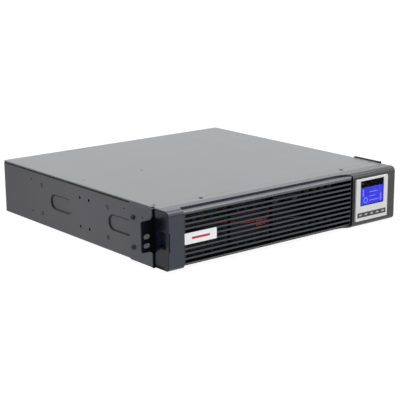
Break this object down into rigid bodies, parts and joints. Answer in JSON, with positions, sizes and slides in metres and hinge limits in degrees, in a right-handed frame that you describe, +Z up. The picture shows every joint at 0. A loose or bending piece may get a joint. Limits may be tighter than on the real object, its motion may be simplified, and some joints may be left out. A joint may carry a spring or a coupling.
{
  "type": "uninterruptible power supply",
  "caption": "Two-unit rack and tower power supply with a light grey cover, dark louvred front, rack ears, a turning display and a battery tray that slides out.",
  "frame": {"origin": "on the resting plane, midway between the sides and between the front of the display and the rear of the sockets", "axes": "+X right as seen from the front, +Y to the rear, +Z up"},
  "size_m": [0.4826, 0.442, 0.086],
  "materials": {
    "cover_paint": "smooth satin, mid grey",
    "case_paint": "satin, dark grey",
    "ear_paint": "satin, dark grey",
    "bezel_plastic": "fine moulded grain, near black",
    "label_plastic": "blank, white",
    "silver_plastic": "satin silver",
    "lens": "clear",
    "lcd": "backlit blue",
    "indicator": "green",
    "strip_plastic": "dark",
    "key_plastic": "grey",
    "board": "green laminate",
    "battery_case": "dark grey",
    "terminal_metal": "tinned",
    "steel": "zinc plated",
    "dark_steel": "black oxide",
    "red_plastic": "red",
    "black_plastic": "black",
    "port_metal": "nickel",
    "ribbon": "grey",
    "aluminium": "extruded",
    "can_sleeve": "blue-black",
    "winding": "copper winding",
    "relay_plastic": "blue"
  },
  "bodies": {
    "chassis": {"top_cover": "cover_paint", "front_frame": "cover_paint", "chassis_base": "case_paint", "rear_panel": "case_paint", "slot_cover": "case_paint", "battery_bay": "case_paint", "side_screws": "case_paint", "ear_bracket_left": "ear_paint", "ear_bracket_right": "ear_paint", "bezel_frame": "bezel_plastic", "main_board": "board", "control_board": "board", "board_standoffs": "steel", "rear_screws": "steel", "fan_guards": "steel", "ear_screws": "dark_steel", "cover_screws": "dark_steel", "battery_socket": "black_plastic", "fan_left_frame": "black_plastic", "fan_right_frame": "black_plastic", "power_inlet": "black_plastic", "outlet_block": "black_plastic", "breaker": "black_plastic", "power_transistors": "black_plastic", "comm_ports": "port_metal", "ribbon_cable": "ribbon", "heatsinks": "aluminium", "capacitors": "can_sleeve", "inductors": "winding", "relays": "relay_plastic"},
    "battery_pack": {"battery_tray": "case_paint", "battery_1": "battery_case", "battery_2": "battery_case", "battery_3": "battery_case", "battery_4": "battery_case", "battery_terminals": "terminal_metal", "hold_down_bars": "steel", "service_link": "red_plastic", "lead_red": "red_plastic", "lead_black": "black_plastic", "pull_tab": "black_plastic", "battery_plug": "black_plastic"},
    "grille": {"grille_panel": "bezel_plastic", "name_plate": "label_plastic"},
    "display": {"display_frame": "silver_plastic", "lcd_window": "lens", "lcd_panel": "lcd", "display_back": "strip_plastic", "status_led": "indicator", "button_strip": "strip_plastic", "display_boss": "strip_plastic", "display_board": "board"},
    "fan_left": {"fan_left_rotor": "black_plastic"},
    "fan_right": {"fan_right_rotor": "black_plastic"},
    "breaker_key": {"breaker_button": "black_plastic"},
    "key_1": {"button_1": "key_plastic"},
    "key_2": {"button_2": "key_plastic"},
    "key_3": {"button_3": "key_plastic"},
    "key_4": {"button_4": "key_plastic"},
    "key_5": {"button_5": "key_plastic"}
  },
  "joints": [
    {"name": "battery_slide", "type": "slide", "parent": "chassis", "child": "battery_pack", "axis": [0, -1, 0], "range_m": [0, 0.2]},
    {"name": "panel_pull", "type": "slide", "parent": "battery_pack", "child": "grille", "axis": [0, -1, 0], "range_m": [0, 0.06]},
    {"name": "display_turn", "type": "hinge", "parent": "chassis", "child": "display", "pos_m": [0.1661, -0.218, 0.0425], "axis": [0, 1, 0], "range_deg": [0, 90]},
    {"name": "fan_left_spin", "type": "hinge", "parent": "chassis", "child": "fan_left", "pos_m": [-0.18, 0.204, 0.042], "axis": [0, 1, 0], "continuous": true},
    {"name": "fan_right_spin", "type": "hinge", "parent": "chassis", "child": "fan_right", "pos_m": [-0.112, 0.204, 0.042], "axis": [0, 1, 0], "continuous": true},
    {"name": "breaker_press", "type": "slide", "parent": "chassis", "child": "breaker_key", "axis": [0, -1, 0], "range_m": [0, 0.0015], "stiffness_N_per_m": 1500},
    {"name": "key_1_press", "type": "slide", "parent": "display", "child": "key_1", "axis": [0, 1, 0], "range_m": [0, 0.0005], "stiffness_N_per_m": 400},
    {"name": "key_2_press", "type": "slide", "parent": "display", "child": "key_2", "axis": [0, 1, 0], "range_m": [0, 0.0005], "stiffness_N_per_m": 400},
    {"name": "key_3_press", "type": "slide", "parent": "display", "child": "key_3", "axis": [0, 1, 0], "range_m": [0, 0.0005], "stiffness_N_per_m": 400},
    {"name": "key_4_press", "type": "slide", "parent": "display", "child": "key_4", "axis": [0, 1, 0], "range_m": [0, 0.0005], "stiffness_N_per_m": 400},
    {"name": "key_5_press", "type": "slide", "parent": "display", "child": "key_5", "axis": [0, 1, 0], "range_m": [0, 0.0005], "stiffness_N_per_m": 400}
  ]
}
